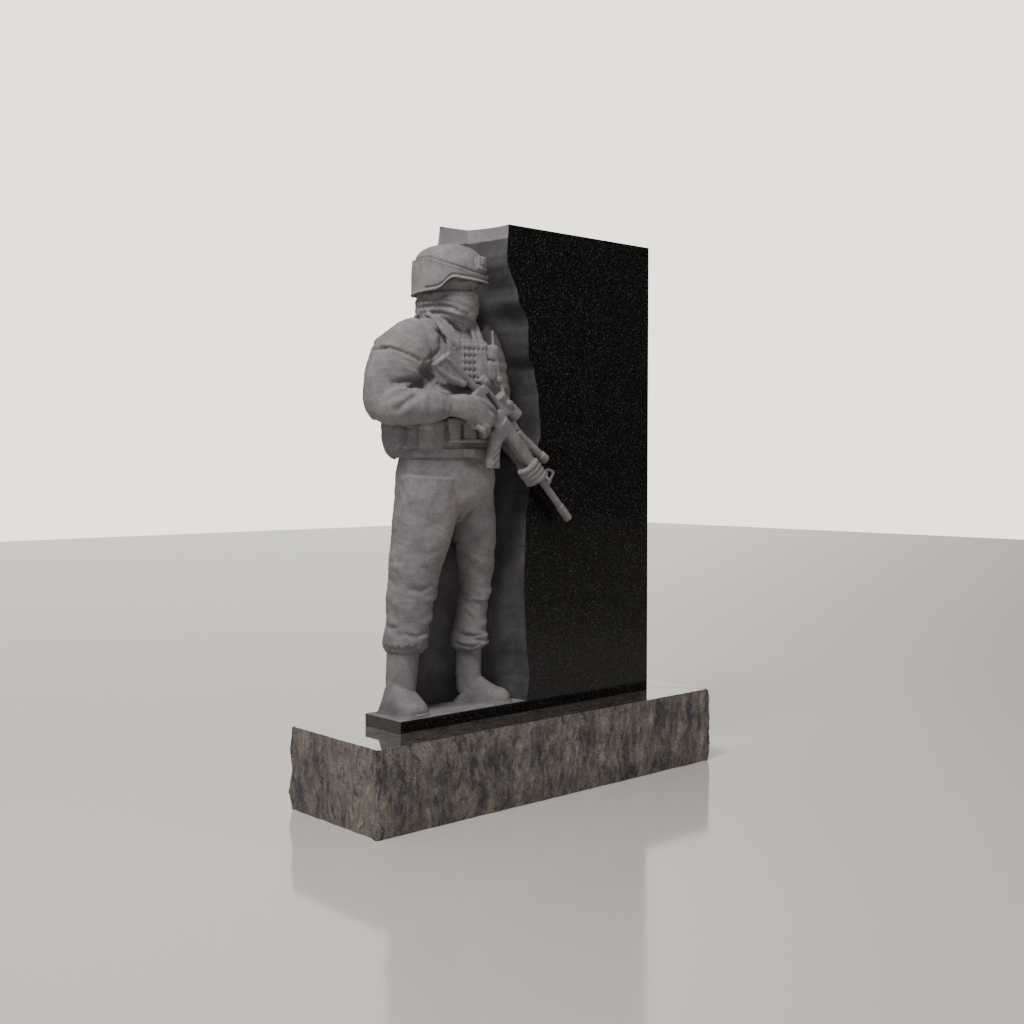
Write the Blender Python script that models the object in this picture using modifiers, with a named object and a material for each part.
"""Granite headstone: a polished black die with a standing soldier carved out of the same block, on a rough base.

Metres, +Z up. The origin is the middle of the base's underside. Facing the polished front, which looks
along -Y, +X runs to the right. The soldier stands in a rough niche at the left end of the die.
"""

import math

import bmesh
import bpy
from mathutils import Matrix, Vector

# Base: one block, polished on top, with rock-pitched sides
BASE_LENGTH = 1.238
BASE_DEPTH = 0.388
BASE_HEIGHT = 0.215
EDGE_SETBACK = 0.009
PITCH_DEPTH = 0.009
PITCH_SPACING = 0.045
PITCH_ROWS = 6

# Die: one block, a slab at the right and a low plinth under the niche at the left
DIE_LENGTH = 0.92
DIE_THICKNESS = 0.15
DIE_HEIGHT = 1.31
PLINTH_HEIGHT = 0.03
BEDDING_GAP = 0.0003

# Niche: how far it reaches along the front, and the thickness of the wall left behind the figure
NICHE_LENGTH = 0.36
NICHE_WALL = 0.032
NICHE_FEATHER = 0.012
NICHE_LEVELS = 26
NICHE_ARC_STEPS = 7
CUT_MARGIN = 0.05

# Figure: drawn in millimetres at DRAWN_HEIGHT and carved at FIGURE_HEIGHT
FIGURE_HEIGHT = 1.222
DRAWN_HEIGHT = 1222.0
FIGURE_INSET = 0.21
FOOT_SINK = 0.004
BACK_TRIM = 0.0005
BODY_TURN = math.radians(-12.0)
HEAD_TURN = math.radians(18.0)
RIFLE_SLOPE = math.radians(-46.0)
CARVING_GRAIN = 0.0052
FIGURE_TRIANGLES = 7800

DIE_BOTTOM = BASE_HEIGHT + BEDDING_GAP
DIE_TOP = DIE_BOTTOM + DIE_HEIGHT
PLINTH_TOP = DIE_BOTTOM + PLINTH_HEIGHT
NICHE_HEIGHT = DIE_TOP - PLINTH_TOP
FIGURE_CENTRE_X = -DIE_LENGTH / 2 + FIGURE_INSET
FIGURE_SCALE = FIGURE_HEIGHT / DRAWN_HEIGHT

# Niche edge on the front face, as shares of the niche height: level, and shift to the right
NICHE_EDGE = (
    (0.00, 0.055), (0.05, 0.062), (0.13, 0.053), (0.25, 0.047), (0.38, 0.052), (0.50, 0.071), (0.57, 0.095),
    (0.64, 0.089), (0.70, 0.077), (0.735, 0.060), (0.80, 0.059), (0.85, 0.031), (0.93, -0.001), (1.00, 0.003),
)

# Left end of the niche wall, as shares of the niche height: level, and reach to the left of the edge line
WALL_REACH = ((0.00, 0.178), (0.30, 0.178), (0.55, 0.170), (0.75, 0.140), (0.88, 0.105), (1.00, 0.086))


def clear_scene():
    """Removes whatever the scene holds."""
    for thing in list(bpy.data.objects):
        bpy.data.objects.remove(thing, do_unlink=True)


def make_collection(name):
    """Adds a collection to the scene."""
    collection = bpy.data.collections.new(name)
    bpy.context.scene.collection.children.link(collection)
    return collection


def make_stone(name, colour, roughness):
    """A plain stone material."""
    material = bpy.data.materials.new(name)
    material.use_nodes = True
    shader = material.node_tree.nodes["Principled BSDF"]
    shader.inputs["Base Color"].default_value = (*colour, 1.0)
    shader.inputs["Roughness"].default_value = roughness
    shader.inputs["Metallic"].default_value = 0.0
    return material


def add_object(name, mesh, collection, material=None):
    """Turns a bmesh into an object."""
    data = bpy.data.meshes.new(name)
    bmesh.ops.recalc_face_normals(mesh, faces=mesh.faces)
    mesh.to_mesh(data)
    mesh.free()
    thing = bpy.data.objects.new(name, data)
    collection.objects.link(thing)
    if material:
        data.materials.append(material)
    return thing


def make_guide(thing):
    """Marks an object as one that only shapes another."""
    thing.hide_render = True
    thing.display_type = "WIRE"


def between(table, level):
    """Reads a smooth value from a table of (level, value) pairs."""
    levels = [row[0] for row in table]
    upper = next((i for i, value in enumerate(levels) if value >= level), len(levels) - 1)
    upper = max(upper, 1)
    low_level, low_value = table[upper - 1]
    high_level, high_value = table[upper]
    share = min(max((level - low_level) / (high_level - low_level), 0.0), 1.0)
    share = share * share * (3.0 - 2.0 * share)
    return low_value + (high_value - low_value) * share


# Base


def pitch(along, height):
    """Depth of the chipped side at a place along a side and a share of the height, from 0 to 1."""
    wander = 0.9 * math.sin(5.3 * height + 3.1 * along)
    ridges = math.sin(along * 41.0 + wander) + 0.6 * math.sin(along * 73.0 + 2.2 + 2.0 * wander)
    hollows = math.sin(along * 17.0 + 9.0 * height)
    return min(max(0.5 + 0.22 * ridges + 0.18 * hollows, 0.0), 1.0)


def side_depth(x, y, height):
    """How far a side lies behind its outermost plane: it bulges between its top and bottom edges."""
    arris = max(0.0, (abs(2.0 * height - 1.0) - 0.3) / 0.7) ** 2
    return EDGE_SETBACK * arris + PITCH_DEPTH * (1.0 - arris) * pitch(x + 2.0 * y, height)


def chipped_side(length, phase):
    """Places along one side, each a little off the even spacing, with both corners included."""
    count = max(round(length / PITCH_SPACING), 2)
    places = []
    for i in range(count + 1):
        drift = 0.3 * math.sin(2.4 * i + phase) if 0 < i < count else 0.0
        places.append((i + drift) / count * length - length / 2)
    return places


def build_base(collection, material):
    """The base block, as a stack of chipped outlines closed by flat faces above and below."""
    half_length = BASE_LENGTH / 2
    half_depth = BASE_DEPTH / 2
    sides = (
        [(x, -half_depth, 0, -1) for x in chipped_side(BASE_LENGTH, 0.4)[:-1]],
        [(half_length, y, 1, 0) for y in chipped_side(BASE_DEPTH, 1.7)[:-1]],
        [(-x, half_depth, 0, 1) for x in chipped_side(BASE_LENGTH, 2.9)[:-1]],
        [(-half_length, -y, -1, 0) for y in chipped_side(BASE_DEPTH, 4.4)[:-1]],
    )
    heights = [row / PITCH_ROWS for row in range(PITCH_ROWS + 1)]
    mesh = bmesh.new()
    rings = [[] for _ in heights]
    for side in sides:
        least = min(side_depth(x, y, height) for height in heights for x, y, _, _ in side)
        for ring, height in zip(rings, heights):
            for i, (x, y, out_x, out_y) in enumerate(side):
                depth = side_depth(x, y, height) - least
                inset_x = depth * math.copysign(1.0, x) if i == 0 or out_x else 0.0
                inset_y = depth * math.copysign(1.0, y) if i == 0 or out_y else 0.0
                ring.append(mesh.verts.new((x - inset_x, y - inset_y, height * BASE_HEIGHT)))
    close_rings(mesh, rings)
    return add_object("base", mesh, collection, material)


# Die block and niche


def niche_outline(level):
    """Plan outline of what is cut away at a level of the niche, a share of its height."""
    front = -DIE_THICKNESS / 2
    back = DIE_THICKNESS / 2
    edge_line = -DIE_LENGTH / 2 + NICHE_LENGTH
    edge = edge_line + NICHE_HEIGHT * between(NICHE_EDGE, level)
    left_end = edge_line - NICHE_HEIGHT * between(WALL_REACH, level)
    facet = max(0.0, (level - 0.955) / 0.045)
    wall_front = back - NICHE_WALL * (1.0 - 0.75 * facet)
    sweep = (0.40 - 0.10 * facet + 0.05 * math.sin(9.0 * level)) * (edge - left_end)
    outline = [(edge + 0.35 * CUT_MARGIN, front - CUT_MARGIN), (edge, front)]
    for step in range(1, NICHE_ARC_STEPS + 1):
        angle = math.pi / 2 * step / NICHE_ARC_STEPS
        bulge = 0.004 * math.sin(23.0 * level + 4.0 * angle)
        x = edge - sweep * (1.0 - math.cos(angle) ** 0.7) - bulge
        outline.append((x, front + (wall_front - front) * math.sin(angle) ** 0.7))
    outline.append((left_end, back - NICHE_FEATHER * (1.0 - 0.8 * facet)))
    outline.append((left_end - 0.004, back + CUT_MARGIN))
    outline.append((-DIE_LENGTH / 2 - CUT_MARGIN, back + CUT_MARGIN))
    outline.append((-DIE_LENGTH / 2 - CUT_MARGIN, front - CUT_MARGIN))
    return outline


def build_niche_cutter(collection):
    """The stone that is carved away around the figure, lofted from the plinth's top to above the slab."""
    mesh = bmesh.new()
    rings = []
    for step in range(NICHE_LEVELS + 1):
        level = step / NICHE_LEVELS
        height = PLINTH_TOP + level * NICHE_HEIGHT
        rings.append([mesh.verts.new((x, y, height)) for x, y in niche_outline(level)])
    rings.append([mesh.verts.new((v.co.x, v.co.y, DIE_TOP + CUT_MARGIN)) for v in rings[-1]])
    close_rings(mesh, rings)
    cutter = add_object("niche_cutter", mesh, collection)
    make_guide(cutter)
    return cutter


def close_rings(mesh, rings):
    """Skins a list of rings of vertices and caps both ends."""
    count = len(rings[0])
    for lower, upper in zip(rings, rings[1:]):
        for i in range(count):
            j = (i + 1) % count
            mesh.faces.new((lower[i], lower[j], upper[j], upper[i]))
    mesh.faces.new(rings[-1])
    mesh.faces.new(list(reversed(rings[0])))


# Shapes that the figure is made of, all in drawn millimetres


def limb_point(stations, across, squareness, step, angle):
    """A place on a limb's skin: step counts the stations, and angle runs from across towards its depth."""
    low = min(int(step), len(stations) - 2)
    share = step - low
    here, there = stations[low], stations[low + 1]
    before, after = stations[max(low - 1, 0)], stations[min(low + 2, len(stations) - 1)]
    centre = Vector(here[:3]).lerp(Vector(there[:3]), share)
    tangent = (Vector(there[:3]) - Vector(before[:3])).normalized().lerp(
        (Vector(after[:3]) - Vector(here[:3])).normalized(), share).normalized()
    half_width = here[3] + (there[3] - here[3]) * share
    half_depth = here[4] + (there[4] - here[4]) * share
    side = Vector(across)
    side = (side - tangent * side.dot(tangent)).normalized()
    deep = tangent.cross(side)
    c = math.cos(angle)
    s = math.sin(angle)
    u = math.copysign(abs(c) ** (2.0 / squareness), c) * half_width
    v = math.copysign(abs(s) ** (2.0 / squareness), s) * half_depth
    return centre + side * u + deep * v


def add_limb(mesh, stations, across=(1.0, 0.0, 0.0), squareness=2.0, sides=16):
    """Lofts a closed body through stations of (x, y, z, half width across, half depth)."""
    rings = []
    for step in range(len(stations)):
        ring = []
        for k in range(sides):
            angle = 2.0 * math.pi * k / sides
            ring.append(mesh.verts.new(limb_point(stations, across, squareness, step, angle)))
        rings.append(ring)
    close_rings(mesh, rings)


def add_folds(mesh, stations, across, squareness, folds):
    """Lays rounded folds on a limb: each runs from one (step, degrees) to another with a radius."""
    for start, start_angle, end, end_angle, radius in folds:
        count = max(4, round(abs(end_angle - start_angle) / 30) + 1)
        path = []
        for i in range(count + 1):
            share = i / count
            angle = math.radians(start_angle + (end_angle - start_angle) * share)
            place = limb_point(stations, across, squareness, start + (end - start) * share, angle)
            swell = radius * (0.35 + 0.65 * math.sin(math.pi * share) ** 0.6)
            path.append((*place, swell, swell))
        add_limb(mesh, path, (0.31, 0.23, 0.92), 2.0, 8)


def add_block(mesh, centre, size, axes, rounding=0.0):
    """Adds a box whose size runs along the three axes given."""
    x_axis, y_axis, z_axis = (Vector(axis) for axis in axes)
    turn = Matrix((x_axis, y_axis, z_axis)).transposed().to_4x4()
    matrix = Matrix.Translation(Vector(centre)) @ turn @ Matrix.Diagonal((*size, 1.0))
    made = bmesh.ops.create_cube(mesh, size=1.0, matrix=matrix)
    if rounding:
        edges = list({edge for vertex in made["verts"] for edge in vertex.link_edges})
        bmesh.ops.bevel(mesh, geom=edges, offset=rounding, segments=2, affect="EDGES")


def add_rod(mesh, start, end, radius):
    """Adds a round rod between two points."""
    start = Vector(start)
    run = Vector(end) - start
    turn = run.to_track_quat("Z", "Y").to_matrix().to_4x4()
    bmesh.ops.create_cone(
        mesh, cap_ends=True, segments=14, radius1=radius, radius2=radius, depth=run.length,
        matrix=Matrix.Translation(start + run / 2) @ turn)


def body(left, forward, up):
    """A place given from the middle of the trunk: to the soldier's own left, forward, and up."""
    x = left * math.cos(BODY_TURN) + forward * math.sin(BODY_TURN)
    y = left * math.sin(BODY_TURN) - forward * math.cos(BODY_TURN)
    return Vector((x + 4.0, y + 2.0, up))


BODY_LEFT = body(1, 0, 0) - body(0, 0, 0)
BODY_FORWARD = body(0, 1, 0) - body(0, 0, 0)
UP = Vector((0, 0, 1))
HEAD_LEFT = Vector((math.cos(HEAD_TURN), math.sin(HEAD_TURN), 0.0))
HEAD_FORWARD = Vector((math.sin(HEAD_TURN), -math.cos(HEAD_TURN), 0.0))
HEAD_CENTRE = Vector((4.0, -10.0, 1128.0))
RIFLE_ORIGIN = Vector((-74.0, -112.0, 927.0))
RIFLE_RUN = Vector((math.cos(RIFLE_SLOPE), 0.0, math.sin(RIFLE_SLOPE)))
RIFLE_UP = Vector((-math.sin(RIFLE_SLOPE), 0.0, math.cos(RIFLE_SLOPE)))
RIFLE_SIDE = Vector((0.0, -1.0, 0.0))


def head(left, forward, up):
    """A place given from the middle of the head, level with the helmet's rim."""
    return HEAD_CENTRE + HEAD_LEFT * left + HEAD_FORWARD * forward + UP * up


def rifle(run, up, side=0.0):
    """A place on the rifle: along it towards the muzzle, up from its axis, and out towards the front."""
    return RIFLE_ORIGIN + RIFLE_RUN * run + RIFLE_UP * up + RIFLE_SIDE * side


def add_legs(mesh):
    """Trousers with bloused cuffs, from the seat down to the boots."""
    seat = [(6, 6, 512, 60, 48), (2, 5, 548, 122, 74), (1, 4, 600, 136, 82), (2, 3, 650, 130, 78), (3, 3, 690, 126, 74)]
    add_limb(mesh, seat, BODY_LEFT, 2.5)
    right = [
        (-56, 4, 610, 84, 78), (-62, 3, 550, 86, 76), (-72, 3, 500, 82, 72), (-86, 4, 440, 74, 68),
        (-100, 7, 380, 68, 64), (-108, 10, 325, 62, 60), (-113, 13, 290, 59, 58), (-117, 16, 240, 54, 54),
        (-122, 18, 200, 54, 54), (-124, 19, 178, 54, 54), (-125, 19, 160, 45, 46)]
    add_limb(mesh, right, BODY_LEFT, 2.2)
    add_folds(mesh, right, BODY_LEFT, 2.2, (
        (4.3, 200, 4.9, 100, 9), (5.2, -10, 5.8, 80, 9), (5.9, 10, 5.6, 120, 8), (6.6, -20, 7.1, 90, 8),
        (7.5, 200, 7.8, 70, 8), (8.3, 180, 8.6, 20, 9), (9.0, 200, 8.8, 40, 9), (9.1, 80, 8.9, -40, 9)))
    left = [
        (60, 2, 610, 76, 76), (74, 3, 550, 70, 72), (90, 5, 500, 64, 66), (104, 10, 440, 56, 58),
        (110, 16, 380, 48, 52), (110, 22, 320, 41, 47), (107, 27, 280, 41, 46), (100, 30, 230, 41, 46),
        (100, 31, 190, 47, 50), (101, 32, 165, 47, 50), (103, 33, 152, 38, 42)]
    add_limb(mesh, left, (1, 0.2, 0), 2.2)
    add_folds(mesh, left, (1, 0.2, 0), 2.2, (
        (3.6, 190, 4.2, 100, 8), (5.2, 0, 5.6, 110, 7), (5.9, 180, 5.5, 80, 7), (6.8, 10, 7.2, 130, 7),
        (7.6, 190, 8.0, 60, 8), (8.6, 180, 8.3, 20, 8), (8.9, 150, 9.1, 0, 8)))
    belt = [(2, 3, 652, 131, 80), (2, 3, 656, 135, 83), (2, 3, 676, 135, 83), (2, 3, 680, 131, 80)]
    add_limb(mesh, belt, BODY_LEFT, 2.6)


def add_boot(mesh, heel, toe, ankle, shaft_top, half_width):
    """One boot: a shaft down to the ankle, and a foot lofted from heel to toe on a welted sole."""
    heel = Vector(heel)
    run = Vector(toe) - heel
    length = run.length
    ahead = run.normalized()
    across = ahead.cross(UP)
    shaft = [(*shaft_top, half_width * 0.98, half_width * 1.05), (*ankle, half_width * 0.9, half_width)]
    shaft.append((ankle[0], ankle[1], 30, half_width * 0.85, half_width * 0.9))
    add_limb(mesh, shaft, across)
    profile = ((0.0, 0.55, 44), (0.07, 0.82, 66), (0.25, 0.86, 84), (0.45, 0.86, 72), (0.62, 0.98, 52),
               (0.80, 1.02, 42), (0.93, 0.86, 36), (1.0, 0.48, 26))
    foot = []
    for share, width, height in profile:
        place = heel + ahead * (share * length)
        foot.append((place.x, place.y, height / 2 - 2, half_width * width, height / 2))
    add_limb(mesh, foot, across, 2.4)
    sole = []
    for share, width in ((-0.02, 0.6), (0.06, 0.9), (0.3, 0.92), (0.6, 1.04), (0.82, 1.1), (0.96, 0.86), (1.03, 0.5)):
        place = heel + ahead * (share * length)
        sole.append((place.x, place.y, 3, half_width * width, 7))
    add_limb(mesh, sole, across, 4.0)


def add_trunk(mesh):
    """The armoured vest with its straps, panels and pouches."""
    profile = (
        (682, 132, 68, 0), (694, 142, 76, 0), (740, 144, 78, 0), (800, 134, 76, 0), (860, 124, 74, 1),
        (920, 116, 74, 2), (962, 106, 68, 1), (992, 92, 58, 0), (1016, 76, 48, -2), (1036, 56, 40, -4))
    trunk = []
    for up, half_width, half_depth, lean in profile:
        place = body(0, lean, up)
        trunk.append((*place, half_width, half_depth))
    add_limb(mesh, trunk, BODY_LEFT, 2.7, 24)
    axes = (BODY_LEFT, BODY_FORWARD, UP)
    add_block(mesh, body(10, 76, 890), (150, 14, 140), axes, 4)
    add_block(mesh, body(4, 68, 808), (200, 30, 40), axes, 6)
    for left in (-96, -48, 0, 48, 96):
        add_block(mesh, body(left, 76 - abs(left) * 0.12, 738), (42, 24, 74), axes, 5)
    for side in (-1, 1):
        add_block(mesh, body(side * 144, -8, 730), (38, 92, 74), axes, 8)
        strap = []
        for forward, up in ((80, 930), (78, 965), (64, 1006), (36, 1034), (0, 1042), (-36, 1030), (-56, 996)):
            strap.append((*body(side * 60, forward, up), 23, 7))
        add_limb(mesh, strap, BODY_LEFT, 4.0)
    add_block(mesh, body(84, 78, 870), (26, 22, 80), axes, 4)
    add_rod(mesh, body(88, 82, 905), body(90, 76, 975), 6)


def add_arms(mesh):
    """Both sleeves and gloved hands: the right hand on the grip, the left under the handguard."""
    slant = (1, -0.5, 0)
    upper = [(-80, 10, 1012, 42, 40), (-100, 12, 994, 68, 58), (-120, 14, 960, 80, 62), (-140, 18, 915, 80, 60),
             (-157, 22, 870, 74, 56), (-170, 24, 825, 64, 54), (-175, 22, 790, 60, 52), (-172, 18, 758, 44, 38)]
    add_limb(mesh, upper, slant)
    add_folds(mesh, upper, slant, 2.0, (
        (3.1, 200, 3.4, 40, 9), (1.6, 60, 2.6, 20, 8), (4.4, 150, 4.9, 40, 8), (5.1, 190, 5.3, 80, 9)))
    forearm = [(-184, 36, 788, 42, 40), (-184, 14, 788, 53, 42), (-170, -24, 788, 53, 42), (-136, -58, 790, 46, 38),
               (-94, -80, 794, 39, 33), (-54, -96, 796, 33, 28), (-22, -106, 795, 28, 24)]
    add_limb(mesh, forearm, UP)
    add_folds(mesh, forearm, UP, 2.0, (
        (2.6, 20, 1.3, 80, 9), (2.9, 50, 1.8, 110, 9), (3.4, 20, 3.0, 120, 8), (4.4, 30, 4.0, 140, 7),
        (5.4, -20, 5.6, 150, 6)))
    add_limb(mesh, [(-26, -104, 795, 29, 22), (0, -110, 790, 31, 20), (22, -112, 776, 33, 20), (34, -112, 762, 26, 18)], UP)
    upper = [(98, 4, 998, 36, 34), (118, 2, 976, 52, 44), (140, 2, 930, 54, 46), (158, 2, 880, 50, 42),
             (168, 0, 830, 45, 40), (175, -4, 785, 40, 38), (177, -8, 760, 30, 28)]
    add_limb(mesh, upper)
    add_folds(mesh, upper, (1, 0, 0), 2.0, ((2.3, 130, 2.6, 0, 8), (3.6, 120, 3.9, 10, 7), (4.6, 110, 4.5, 0, 7)))
    forearm = [(172, 2, 776, 34, 34), (182, -14, 752, 38, 36), (194, -40, 716, 36, 34), (204, -64, 680, 30, 30),
               (208, -78, 655, 26, 24)]
    add_limb(mesh, forearm)
    add_limb(mesh, [(206, -76, 660, 27, 22), (210, -92, 640, 32, 24), (218, -104, 622, 30, 26), (226, -106, 604, 20, 18)])


def add_head(mesh):
    """A masked head of plain proportions under a covered helmet with a drooping rear rim."""
    neck = [(4, 12, 1000, 64, 56), (-2, 14, 1030, 62, 58), (-4, 12, 1060, 60, 62), (0, 8, 1090, 58, 66)]
    add_limb(mesh, neck, HEAD_LEFT)
    skull = []
    for up, half_width, half_depth, forward in (
            (-106, 24, 24, 46), (-94, 40, 44, 34), (-74, 52, 62, 22), (-48, 58, 72, 13), (-16, 62, 78, 8), (20, 60, 76, 4)):
        skull.append((*head(0, forward, up), half_width, half_depth))
    add_limb(mesh, skull, HEAD_LEFT)
    scarf = [(*head(0, 30, -132), 20, 14), (*head(0, 24, -112), 40, 38), (*head(0, 16, -92), 54, 56)]
    add_limb(mesh, scarf, HEAD_LEFT)
    add_folds(mesh, neck, HEAD_LEFT, 2.0, (
        (0.5, -60, 0.2, -260, 8), (1.2, -90, 1.0, -290, 8), (1.9, -100, 1.7, -300, 7), (2.6, -110, 2.3, -310, 7)))
    add_helmet(mesh)


def add_helmet(mesh):
    """The helmet, as rings that shrink from its rim to its crown."""
    count = 32
    steps = 9
    rings = []
    for step in range(steps):
        rise = math.pi / 2 * step / steps
        ring = []
        for k in range(count):
            angle = 2.0 * math.pi * k / count
            facing = math.cos(angle)
            drop = 1.0 / (1.0 + math.exp(14.0 * (facing - 0.2)))
            rim = -2.0 - 30.0 * drop - 10.0 * max(0.0, -facing)
            flare = 1.0 + 0.05 * max(0.0, 1.0 - 3.0 * step / steps) * (1.0 - 0.7 * drop)
            reach = math.cos(rise) ** (0.62 - 0.12 * max(0.0, -facing)) * flare
            left = 90.0 * math.copysign(abs(math.sin(angle)) ** 0.9, math.sin(angle)) * reach
            forward = 101.0 * facing * reach
            ring.append(mesh.verts.new(head(left, forward, rim + (92.0 - rim) * math.sin(rise) ** 0.9)))
        rings.append(ring)
    close_rings(mesh, rings)
    add_block(mesh, head(0, 98, 34), (34, 16, 30), (HEAD_LEFT, HEAD_FORWARD, UP), 4)


def add_rifle(mesh):
    """The carbine held across the body, muzzle down."""
    axes = (RIFLE_RUN, RIFLE_SIDE, RIFLE_UP)
    add_rod(mesh, rifle(-20, 0), rifle(125, 0), 10)
    add_block(mesh, rifle(-18, -34), (12, 22, 88), axes, 3)
    add_limb(mesh, [(*rifle(-16, -70), 8, 9), (*rifle(40, -44), 8, 9), (*rifle(84, -12), 8, 9)], RIFLE_UP, 3.0)
    add_block(mesh, rifle(14, -26), (60, 10, 44), axes)
    add_block(mesh, rifle(172, -8), (122, 26, 42), axes, 3)
    add_block(mesh, rifle(180, 18), (130, 14, 12), axes)
    add_block(mesh, rifle(246, -30), (44, 24, 36), axes, 3)
    magazine = [(*rifle(250, -36), 20, 9), (*rifle(255, -66), 20, 9), (*rifle(268, -98), 20, 9), (*rifle(284, -124), 20, 9)]
    add_limb(mesh, magazine, RIFLE_RUN, 4.0)
    add_limb(mesh, [(*rifle(196, -20), 14, 11), (*rifle(176, -84), 13, 11)], RIFLE_RUN, 3.0)
    add_limb(mesh, [(*rifle(232, 2), 20, 18), (*rifle(455, 2), 18, 17)], RIFLE_UP, 5.0)
    add_block(mesh, rifle(345, 24), (200, 12, 10), axes)
    add_rod(mesh, rifle(330, 36), rifle(425, 36), 11)
    add_rod(mesh, rifle(425, 36), rifle(442, 36), 14)
    add_rod(mesh, rifle(440, 2), rifle(596, 2), 7)
    add_rod(mesh, rifle(562, 2), rifle(596, 2), 9)
    add_block(mesh, rifle(468, 10), (18, 16, 34), axes, 3)
    add_limb(mesh, [(*rifle(456, 16), 5, 5), (*rifle(470, 52), 5, 5), (*rifle(484, 18), 5, 5)], RIFLE_SIDE, 4.0, 8)
    add_rod(mesh, rifle(188, 42), rifle(262, 42), 17)
    add_block(mesh, rifle(222, 26), (44, 18, 14), axes, 2)


def build_figure(collection):
    """All the figure's forms, fused into one skin the way they are one stone."""
    mesh = bmesh.new()
    add_legs(mesh)
    add_boot(mesh, (-150, 72, 0), (-134, -58, 0), (-132, 26, 74), (-129, 19, 172), 40)
    add_boot(mesh, (108, 68, 0), (184, -40, 0), (108, 38, 66), (103, 33, 162), 35)
    add_trunk(mesh)
    add_arms(mesh)
    add_head(mesh)
    add_rifle(mesh)
    stand = Matrix.Translation((FIGURE_CENTRE_X, 0.0, PLINTH_TOP - FOOT_SINK)) @ Matrix.Scale(FIGURE_SCALE, 4)
    bmesh.ops.transform(mesh, matrix=stand, verts=mesh.verts)
    figure = add_object("figure_form", mesh, collection)
    fuse = figure.modifiers.new("fuse", "REMESH")
    fuse.mode = "VOXEL"
    fuse.voxel_size = CARVING_GRAIN
    soften = figure.modifiers.new("soften", "SMOOTH")
    soften.factor = 0.5
    soften.iterations = 1
    thin = figure.modifiers.new("thin", "DECIMATE")
    bpy.context.view_layer.update()
    evaluated = figure.evaluated_get(bpy.context.evaluated_depsgraph_get())
    thin.ratio = min(1.0, FIGURE_TRIANGLES / (2.0 * len(evaluated.data.polygons)))
    trim = figure.modifiers.new("trim", "BOOLEAN")
    trim.operation = "DIFFERENCE"
    trim.object = build_back_trim(collection)
    make_guide(figure)
    return figure


def build_back_trim(collection):
    """Everything behind the block's back face, where the figure ends as the block does."""
    mesh = bmesh.new()
    size = Matrix.Diagonal((2.0 * DIE_LENGTH, DIE_THICKNESS, 2.0 * DIE_HEIGHT, 1.0))
    place = Matrix.Translation((0.0, DIE_THICKNESS - BACK_TRIM, DIE_BOTTOM + DIE_HEIGHT / 2))
    bmesh.ops.create_cube(mesh, size=1.0, matrix=place @ size)
    trim = add_object("back_trim", mesh, collection)
    make_guide(trim)
    return trim


def build_die(collection, guides, material):
    """The die: one block, the niche cut out of it, and the figure left standing in it."""
    mesh = bmesh.new()
    size = Matrix.Diagonal((DIE_LENGTH, DIE_THICKNESS, DIE_HEIGHT, 1.0))
    place = Matrix.Translation((0.0, 0.0, DIE_BOTTOM + DIE_HEIGHT / 2))
    bmesh.ops.create_cube(mesh, size=1.0, matrix=place @ size)
    die = add_object("die", mesh, collection, material)
    for operation, tool in (("DIFFERENCE", build_niche_cutter(guides)), ("UNION", build_figure(guides))):
        carve = die.modifiers.new(operation.lower(), "BOOLEAN")
        carve.operation = operation
        carve.object = tool
    return die


def main():
    clear_scene()
    stone = make_collection("granite_headstone")
    guides = make_collection("guides")
    base_granite = make_stone("base_granite", (0.20, 0.165, 0.15), 0.75)
    die_granite = make_stone("die_granite", (0.22, 0.21, 0.215), 0.7)
    build_base(stone, base_granite)
    build_die(stone, guides, die_granite)


main()
